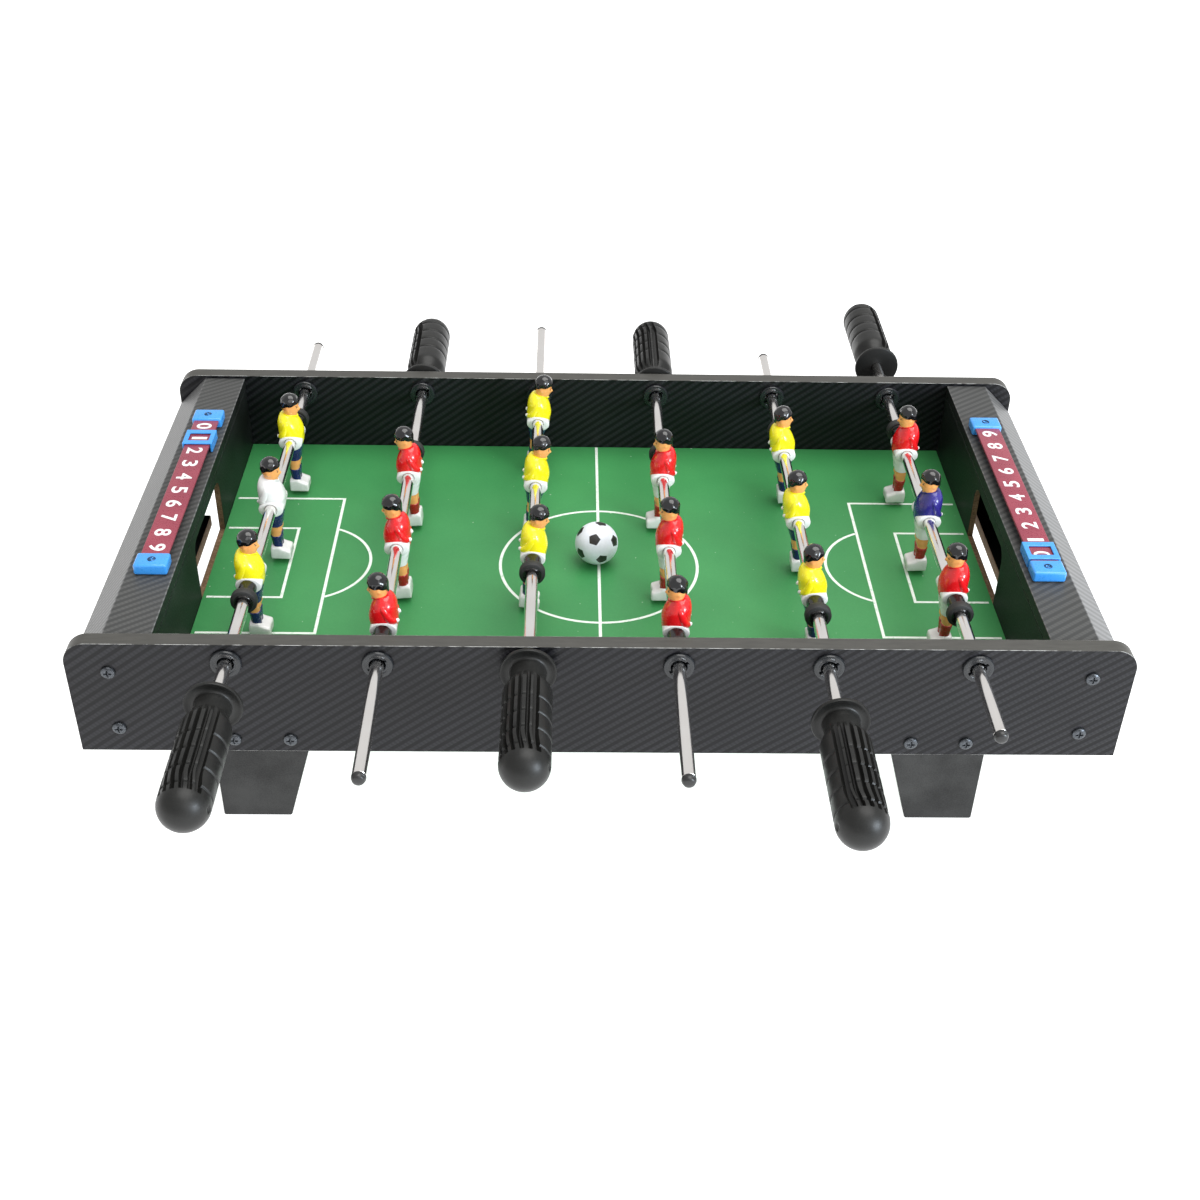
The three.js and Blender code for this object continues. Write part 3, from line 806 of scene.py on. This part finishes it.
def legs(shape):
    """Shorts, bare knees and socks in one skin, with a small step at each hem."""
    shorts_hem, sock_top = -17.9, -26.8
    keys = [(-4.0, 0.0, 8.3, 10.2), (-8.0, 0.1, 7.6, 9.6), (-13, 0.3, 6.3, 8.9), (-17.6, 0.4, 5.6, 8.5),
            (-18.0, 0.4, 4.7, 7.6), (-21.5, 0.5, 4.8, 7.5), (-25, 0.1, 4.2, 7.0), (-26.6, 0.0, 4.0, 6.8),
            (-27.0, 0.1, 4.6, 7.3), (-29.5, 0.1, 4.4, 7.1), (-33, 0.2, 4.0, 6.6), (-38, 0.3, 3.9, 6.3)]
    rows = []
    for upper, lower in zip(keys, keys[1:]):
        steps = 1 if upper[0] - lower[0] < 1 else 4
        rows += [[a + (b - a) * ease(i / steps, 0, 1) if column else a + (b - a) * i / steps
                  for column, (a, b) in enumerate(zip(upper, lower))] for i in range(steps)]
    rows.append(list(keys[-1]))

    def paint(row):
        height = rows[row + 1][0] if row + 1 < len(rows) else rows[row][0]
        if height > shorts_hem:
            return SHORTS
        return SKIN if height > sock_top else SOCKS

    shape.skin([oval(z, x, depth, width, 2.5, 0.3 * ease(-z, 14, 19))
                for z, x, depth, width in rows], paint)


def shoes(shape):
    """The white block that strikes the ball: two shoes side by side, drawn as sections along X."""
    keys = [(-4.8, -45.8, -37.4, 7.0), (-4.5, -46.8, -36.2, 7.7), (-3.4, -47.0, -35.4, 8.0),
            (1.8, -47.0, -35.6, 8.0), (3.8, -47.0, -37.2, 8.0), (8.2, -47.0, -39.0, 7.9),
            (9.3, -46.9, -39.5, 7.6), (9.8, -46.2, -40.2, 7.0), (10.0, -45.2, -41.2, 6.2)]
    rings = []
    for x, low, high, half_width in smooth_rows(keys, 3):
        ring = []
        for index in range(AROUND):
            b, c = rounded(TURN * index / AROUND, half_width, (high - low) / 2, 5)
            cleft = 1.3 * hump(b, 0, 0.9) * ease(x, 0, 3) if c > 0 else 0
            front = 0.9 * hump(b, 0, 1.0) * ease(x, 7, 10)
            ring.append((x - front, b, (low + high) / 2 + c - cleft))
        rings.append(ring)
    shape.skin(rings, SHOES)


def head_size(height):
    """Middle, half depth and half width of the head at a height."""
    keys = [(17, -0.6, 4.0, 4.4), (20.4, 0, 4.4, 4.5), (21.4, 0.9, 5.2, 4.9), (23, 1.0, 5.8, 5.4),
            (26, 0.9, 6.2, 6.0), (30, 0.8, 6.3, 6.2), (33.2, 0.8, 5.6, 5.5), (35.4, 0.8, 4.0, 3.9),
            (36.6, 0.8, 1.5, 1.5)]
    for upper, lower in zip(keys[1:], keys):
        if height <= upper[0]:
            t = ease(height, lower[0], upper[0]) * 0.4 + 0.6 * (height - lower[0]) / (upper[0] - lower[0])
            return [a + (b - a) * t for a, b in zip(lower[1:], upper[1:])]
    return keys[-1][1:]


def face_mark(shape, side, x, y, z, half_length, half_height):
    """A small black lens on the face, drawn as rings from inside the head outwards."""
    count, slope, bend = 12, 0.45, 0.16
    rings = []
    for depth, size in ((1.6, 1.0), (0.3, 1.0), (-0.5, 0.6), (-0.8, 0.15)):
        ring = []
        for index in range(count):
            angle = TURN * index / count
            across = side * y + half_length * size * math.cos(angle)
            up = z + half_height * size * math.sin(angle)
            ring.append((x - slope * depth - bend * abs(across), across, up))
        rings.append(ring)
    shape.skin(rings, HAIR)


def head(shape):
    low, high, steps = 17, 36.6, 32
    rings = []
    for step in range(steps + 1):
        height = low + (high - low) * step / steps
        ring = []
        for x, y, z in oval(height, *head_size(height)):
            front = max(x, 0) / 7
            nose = 1.5 * hump(y, 0, 1.1) * hump(z, 25.2, 1.5) * front
            brow = 0.5 * hump(abs(y), 2.6, 1.6) * hump(z, 28.6, 0.8) * front
            socket = 0.45 * hump(abs(y), 2.5, 1.0) * hump(z, 27.0, 0.8) * front
            mouth = 0.35 * hump(y, 0, 1.8) * hump(z, 22.9, 0.4) * front
            ear = 1.0 * hump(x, -0.8, 1.2) * hump(z, 26.6, 1.7)
            ring.append((x + nose + brow - socket - mouth, y + math.copysign(ear, y), z))
        rings.append(ring)
    shape.skin(rings, SKIN)
    for side in (-1, 1):
        face_mark(shape, side, 6.85, 2.5, 27.1, 0.75, 0.42)      # an eye
        face_mark(shape, side, 6.75, 2.9, 28.75, 1.25, 0.3)      # a brow


HAIR_TOP = 37.4
CROWN = 31                               # the cap of hair closes towards the top from here
CROWN_RISE = 6.6
CROWN_HALF_DEPTH, CROWN_HALF_WIDTH = 6.2, 6.1


def hair_edge(angle):
    """The hairline: high over the brow, level over the ears and low at the nape."""
    turn = abs(math.degrees(angle))
    return 30.9 - 1.3 * ease(turn, 20, 90) - 1.6 * ease(turn, 100, 130) - 3.6 * ease(turn, 142, 166)


def hair(shape):
    """A glossy cap with soft waves, thicker than the head by a millimetre."""
    count, rows = 56, 16
    rings = []
    for row in range(rows + 1):
        rise = math.sin(math.radians(90 * row / rows))
        ring = []
        for index in range(count):
            angle = TURN * index / count - math.pi
            low = hair_edge(angle)
            height = low + (HAIR_TOP - low) * rise
            middle, depth, width = head_size(min(height, 35.9))
            wave = 0.22 * math.sin(5 * angle + 0.5 * height) + 0.16 * math.sin(9 * angle - 0.8 * height)
            proud = 0.95 + wave * (1 - rise ** 4)
            reach_x, reach_y = depth + proud, width + proud
            if height > CROWN:
                top = math.sqrt(max(1 - ((height - CROWN) / CROWN_RISE) ** 2, 0))
                reach_x, reach_y = (CROWN_HALF_DEPTH + proud) * top, (CROWN_HALF_WIDTH + proud) * top
            ring.append((middle + reach_x * math.cos(angle), reach_y * math.sin(angle), height))
        rings.append(ring)
    lip = [[(x * size, y * size, z + rise) for x, y, z in rings[0]]
           for size, rise in ((0.78, 0.9), (0.94, -0.05))]
    shape.skin([*lip, *rings], HAIR)


def figure(name, shirt_paint, shorts_paint, socks_paint):
    shape = Shape()
    for part in (shirt, arms_and_hands, collar, hip_boss, legs, shoes, head, hair):
        part(shape)
    paints = [shirt_paint, skin, black, white, shorts_paint, socks_paint, white]
    return shape.mesh(name, paints, 48)


OUTFITS = {
    "player_yellow": figure("player_yellow", yellow, navy, navy),
    "player_red": figure("player_red", red, white, dark_red),
    "keeper_white": figure("keeper_white", white, navy, navy),
    "keeper_purple": figure("keeper_purple", purple, white, dark_red),
}


def outfit(number, spot):
    """The outfit that the player wears, named for its shirt."""
    if spot == "middle" and number in (RODS[0], RODS[-1]):
        return "keeper_white" if number == RODS[0] else "keeper_purple"
    return "player_yellow" if number % 2 else "player_red"


# ---- the rods with all that is on them -----------------------------------------------------------
tube_low, tube_high = box_mm("rod_1_tube")
bush_low, bush_high = box_mm("rod_1_bushing_front")
bumper_mesh = bumper()
handle_mesh = handle()
bushing_mesh = bushing((bush_high.y - bush_low.y) / 2, (bush_high.x - bush_low.x) / 2)
bare_end = -(tube_high.y - rod_axis(1).y)
tube_mesh = tube(bare_end, rod_axis(1).y - tube_low.y)
plug_mesh = end_plug(bare_end)
HANDLE_ROLL = {1: -46.5, 2: -120, 3: -54, 4: -83, 5: 58, 6: 109.5}
TEAM_LEAN = {1: 0, 2: -4, 3: 7.3, 4: 1.3, 5: -5.5, 6: 0}    # degrees towards +X

for number in RODS:
    axis = rod_axis(number)
    facing = 180 if handle_side(number) < 0 else 0
    slide, team = f"rod_{number}_slide", f"rod_{number}_team"
    piece = put(f"rod_{number}_polished_tube", tube_mesh, slide, axis, facing)
    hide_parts(f"rod_{number}_tube")
    put(f"rod_{number}_end_plug", plug_mesh, slide, axis, facing)
    low, high = box_mm(f"rod_{number}_handle")
    flange_y = high.y if facing else low.y
    place = (axis.x, flange_y, axis.z)
    piece = put(f"rod_{number}_grip", handle_mesh, team, place, facing,
                HANDLE_ROLL[number])
    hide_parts(f"rod_{number}_handle")
    for spot in SPOTS:
        low, high = box_mm(f"rod_{number}_player_{spot}")
        slot = outfit(number, spot)
        place = (axis.x, (low.y + high.y) / 2, axis.z)
        piece = put(f"rod_{number}_figure_{spot}", OUTFITS[slot], team, place,
                    0 if number % 2 else 180, TEAM_LEAN[number])
        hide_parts(f"rod_{number}_player_{spot}")
    for side, sign in SIDES.items():
        place = axis + Vector((0, sign * PLAYER_PITCH, 0))
        put(f"rod_{number}_bumper_{side}", bumper_mesh, team, place,
            0 if sign > 0 else 180)
        low, high = box_mm(f"rod_{number}_bushing_{side}")
        piece = put(f"rod_{number}_bush_{side}", bushing_mesh, "table", (low + high) / 2)
        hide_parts(f"rod_{number}_bushing_{side}")

# ---- screws --------------------------------------------------------------------------------------
SCREW_HEAD = 4.7
PANEL_SCREWS = [(317.6, 22.6), (317.6, 69), (206.3, 78.3), (243.3, 78.3)]


def cross_head(profile, arm, half_slot, deep, count, offset=0.0, taper=0.0):
    """Rings (a, b, height) of a round head with a cross recess, from (radius, height) pairs."""
    rings = []
    for radius, height in profile:
        ring = []
        for index in range(count):
            angle = TURN * (index + offset) / count
            a, b = radius * math.cos(angle), radius * math.sin(angle)
            in_cross = min(abs(a), abs(b)) < half_slot and radius < arm + 0.1
            ring.append((a, b, height - (deep * (1 - taper * radius / arm) if in_cross else 0)))
        rings.append(ring)
    return rings


def screw():
    """A pan head with a cross recess, facing -Y, its bearing face at 0."""
    arm, top = 2.4, 2.2
    profile = [(SCREW_HEAD, 0.0), (SCREW_HEAD, 0.7), (SCREW_HEAD - 0.35, 1.4), (SCREW_HEAD - 1.2, 1.95),
               (arm + 0.25, top), *[(arm * part, top) for part in (1, 0.82, 0.6, 0.4)], (0.45, top)]
    rings = cross_head(profile, arm, 0.5, 1.5, 48, taper=0.5)
    return Shape().skin([[(a, -up, b) for a, b, up in ring] for ring in rings]).mesh("screw", [steel], 30)


screw_mesh = screw()
for side, sign in SIDES.items():
    face = panel_low.y if sign < 0 else back_high.y
    for end, way in ENDS.items():
        for index, (x, drop) in enumerate(PANEL_SCREWS, 1):
            place = (way * x, face + sign * 0.05, TOP - drop)
            put(f"screw_{side}_{end}_{index}", screw_mesh, "table", place,
                0 if sign < 0 else 180)

# ---- score counters ------------------------------------------------------------------------------
CAP_LENGTH = 16
STRIP_WIDTH, STRIP_THICK, STRIP_RISE = 18.7, 2, 4.5
FIGURE_HEIGHT, FIGURE_WIDTH, FIGURE_PITCH = 11.5, 8.6, 18.7
ONE_WIDTH = 0.4                          # width of the figure 1 over that of the others
CAP_SCREW_TURN = 25


def block(low, high, bevel, paint, name, segments=3):
    """A box between two corners with rounded edges."""
    work = bmesh.new()
    bmesh.ops.create_cube(work, size=1)
    size, middle = (high - low) * MM, (high + low) / 2 * MM
    for vert in work.verts:
        vert.co = Vector(c * s for c, s in zip(vert.co, size)) + middle
    bmesh.ops.bevel(work, geom=work.edges, offset=bevel * MM, segments=segments, affect="EDGES",
                    profile=0.5)
    return from_work(work, name, [paint], 50)


def cap_screw():
    """A small pan head with a cross recess, drawn from the top of a score cap upwards."""
    arm, top = 1.7, 0.55
    profile = [(2.9, -0.2), (2.9, 0.1), (2.6, 0.35), (arm + 0.2, top), (arm, top), (arm * 0.6, top),
               (0.35, top)]
    rings = cross_head(profile, arm, 0.4, 0.7, 40, offset=0.5)
    return Shape().skin(rings).mesh("cap_screw", [blue_steel], 30)


cap_screw_mesh = cap_screw()


def score_figures(end, way, low, high):
    """The figures 0 to 9 as one thin raised mesh."""
    text = bpy.data.curves.new("figure_text", "FONT")
    text.align_x, text.align_y = "CENTER", "CENTER"
    text.offset, text.extrude, text.resolution_u = 0.018, 0.01, 6
    holder = linked("figure_text", text)
    joined = bmesh.new()
    middle = Vector(((low.x + high.x) / 2, MIDDLE, low.z + STRIP_RISE + STRIP_THICK))
    for figure_number in range(10):
        text.body = str(figure_number)
        bpy.context.view_layer.update()
        flat = bpy.data.meshes.new_from_object(holder.evaluated_get(bpy.context.evaluated_depsgraph_get()))
        xs, ys = [v.co.x for v in flat.vertices], [v.co.y for v in flat.vertices]
        wide = FIGURE_WIDTH * (ONE_WIDTH if figure_number == 1 else 1)
        size = Matrix.Diagonal((wide / (max(xs) - min(xs)), FIGURE_HEIGHT / (max(ys) - min(ys)), 4, 1))
        centre = Matrix.Translation((-(max(xs) + min(xs)) / 2, -(max(ys) + min(ys)) / 2, 0))
        across = Matrix.Translation((0, way * FIGURE_PITCH * (figure_number - 4.5), 0.05))
        flat.transform(Matrix.Scale(MM, 4) @ Matrix.Translation(middle) @ across
                       @ Matrix.Rotation(way * TURN / 4, 4, "Z") @ size @ centre)
        joined.from_mesh(flat)
        bpy.data.meshes.remove(flat)
    bpy.data.objects.remove(holder)
    bmesh.ops.remove_doubles(joined, verts=joined.verts, dist=0.001 * MM)
    name = f"score_figures_{end}"
    put(name, from_work(joined, name, [figure_ink], 30), "table")


for end, way in ENDS.items():
    low, high = box_mm(f"score_bar_{end}")
    middle = (low + high) / 2
    inset = CAP_LENGTH / 2
    strip_low = Vector((middle.x - STRIP_WIDTH / 2, low.y + inset, low.z + STRIP_RISE))
    strip_high = Vector((middle.x + STRIP_WIDTH / 2, high.y - inset, strip_low.z + STRIP_THICK))
    piece = put(f"score_strip_{end}", block(strip_low, strip_high, 0.4, strip_plastic, "score_strip"),
                "table")
    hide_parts(f"score_bar_{end}")
    score_figures(end, way, low, high)
    for side, sign in SIDES.items():
        near = low.y if sign < 0 else high.y - CAP_LENGTH
        corner = Vector((low.x, near, low.z))
        cap = block(corner, Vector((high.x, near + CAP_LENGTH, high.z)), 1.6, blue_plastic, "score_cap", 4)
        put(f"score_cap_{end}_{side}", cap, "table")
        put(f"score_screw_{end}_{side}", cap_screw_mesh, "table",
            (middle.x, near + inset, high.z), CAP_SCREW_TURN)
    board(f"score_slider_{end}", [blue_plastic], lambda normal, middle: 0, 0, 0.5)

# ---- ball ----------------------------------------------------------------------------------------
PATCH_CUT = 0.28                          # where a black patch cuts the edges of the icosahedron
BALL_TURN = (169.4, 46.4, -114.0)


def ball(radius):
    """A sphere with twelve black five-sided patches, from an icosahedron with its corners cut off."""
    work = bmesh.new()
    bmesh.ops.create_icosphere(work, subdivisions=1, radius=1)
    corners = [vert.co.copy() for vert in work.verts]
    edges = [(edge.verts[0].index, edge.verts[1].index) for edge in work.edges]
    triangles = [[vert.index for vert in face.verts] for face in work.faces]
    work.free()
    cuts, points = {}, []
    for a, b in edges:
        for here, there in ((a, b), (b, a)):
            cuts[here, there] = len(points)
            points.append(corners[here].lerp(corners[there], PATCH_CUT))
    faces, paints = [], []
    for a, b, c in triangles:
        faces.append((cuts[a, b], cuts[b, a], cuts[b, c], cuts[c, b], cuts[c, a], cuts[a, c]))
        paints.append(0)
    for index, corner in enumerate(corners):
        around = [cuts[key] for key in cuts if key[0] == index]
        first = points[around[0]] - corner
        side = corner.cross(first)
        spokes = {p: points[p] - corner for p in around}
        around.sort(key=lambda p: math.atan2(spokes[p].dot(side), spokes[p].dot(first)))
        faces.append(tuple(around))
        paints.append(1)
    work = bmesh.new()
    verts = [work.verts.new(point) for point in points]
    for indices, paint in zip(faces, paints):
        work.faces.new([verts[index] for index in indices]).material_index = paint
    bmesh.ops.poke(work, faces=work.faces)
    bmesh.ops.subdivide_edges(work, edges=work.edges, cuts=5, use_grid_fill=True)
    for vert in work.verts:
        vert.co = vert.co.normalized() * radius * MM
    return from_work(work, "ball", [ball_white, ball_black], 60)


ball_low, ball_high = box_mm("ball")
piece = put("match_ball", ball((ball_high.x - ball_low.x) / 2), "ball",
            (ball_low + ball_high) / 2)
piece.rotation_euler = [math.radians(angle) for angle in BALL_TURN]
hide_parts("ball")

# ---- camera, light and floor ---------------------------------------------------------------------
CAMERA_PLACE = Vector((-24.4, -979.6, 605.8))   # from the middle of the table's top
CAMERA_PITCH, CAMERA_YAW, CAMERA_ROLL = 35.66, -1.513, 1.324
LENS, SENSOR = 46.997, 36


def camera():
    """A camera in front of the table that looks down on it."""
    data = bpy.data.cameras.new("camera")
    data.lens, data.sensor_width = LENS, SENSOR
    data.clip_start, data.clip_end = 0.05, 50
    view = linked("camera", data)
    place = Matrix.Translation((CAMERA_PLACE + Vector((0, MIDDLE, TOP))) * MM)
    yaw = Matrix.Rotation(math.radians(CAMERA_YAW), 4, "Z")
    pitch = Matrix.Rotation(math.radians(90 - CAMERA_PITCH), 4, "X")
    roll = Matrix.Rotation(math.radians(CAMERA_ROLL), 4, "Z")
    view.matrix_world = place @ yaw @ pitch @ roll
    bpy.context.scene.camera = view


def lit(kind, name, watts, place, aim, colour, **sizes):
    """A light at a place in metres that shines on a point."""
    data = bpy.data.lights.new(name, kind)
    data.energy, data.color = watts, colour
    for size, value in sizes.items():
        setattr(data, size, value)
    light = linked(name, data)
    light.location = place
    light.rotation_euler = (Vector(aim) - Vector(place)).to_track_quat("-Z", "Y").to_euler()


def white_floor():
    """A floor that glows evenly, so that no shadow shows on it."""
    half = 9
    mesh = bpy.data.meshes.new("floor")
    mesh.from_pydata([(-half, -half, 0), (half, -half, 0), (half, half, 0), (-half, half, 0)], [],
                     [(0, 1, 2, 3)])
    paint = Paint("floor", Roughness=1.0, Emission_Strength=1.0)
    cloud = paint.noise(3, 2)
    paint.set("Base Color", paint.ramp(cloud, [(0.3, (0.45, 0.45, 0.45)), (0.7, (0.5, 0.5, 0.5))]))
    paint.set("Emission Color", paint.ramp(cloud, [(0.3, (0.99, 0.99, 0.99)), (0.7, (1, 1, 1))]))
    mesh.materials.append(paint.material)
    floor = linked("floor", mesh)


def surroundings():
    """The floor, a dim even sky, wide lights from above and a soft box low at the front right."""
    white_floor()
    world = bpy.data.worlds.new("sky")
    world.use_nodes = True
    world.node_tree.nodes["Background"].inputs["Color"].default_value = (1, 1, 1, 1)
    world.node_tree.nodes["Background"].inputs["Strength"].default_value = 0.75
    bpy.context.scene.world = world
    middle = (0, 0, 0.1)
    lit("SUN", "overhead", 2.2, (0.4, 0.2, 2), middle, (1, 0.99, 0.97), angle=math.radians(50))
    lit("SUN", "front", 0.6, (1.2, -1.6, 1.6), middle, (1, 1, 1), angle=math.radians(40))
    lit("AREA", "window", 40, (1.6, -1.3, 0.7), (0.2, 0, 0.1), (0.8, 0.9, 1), size=0.7)


camera()
surroundings()
bpy.context.scene.view_settings.view_transform = "Standard"
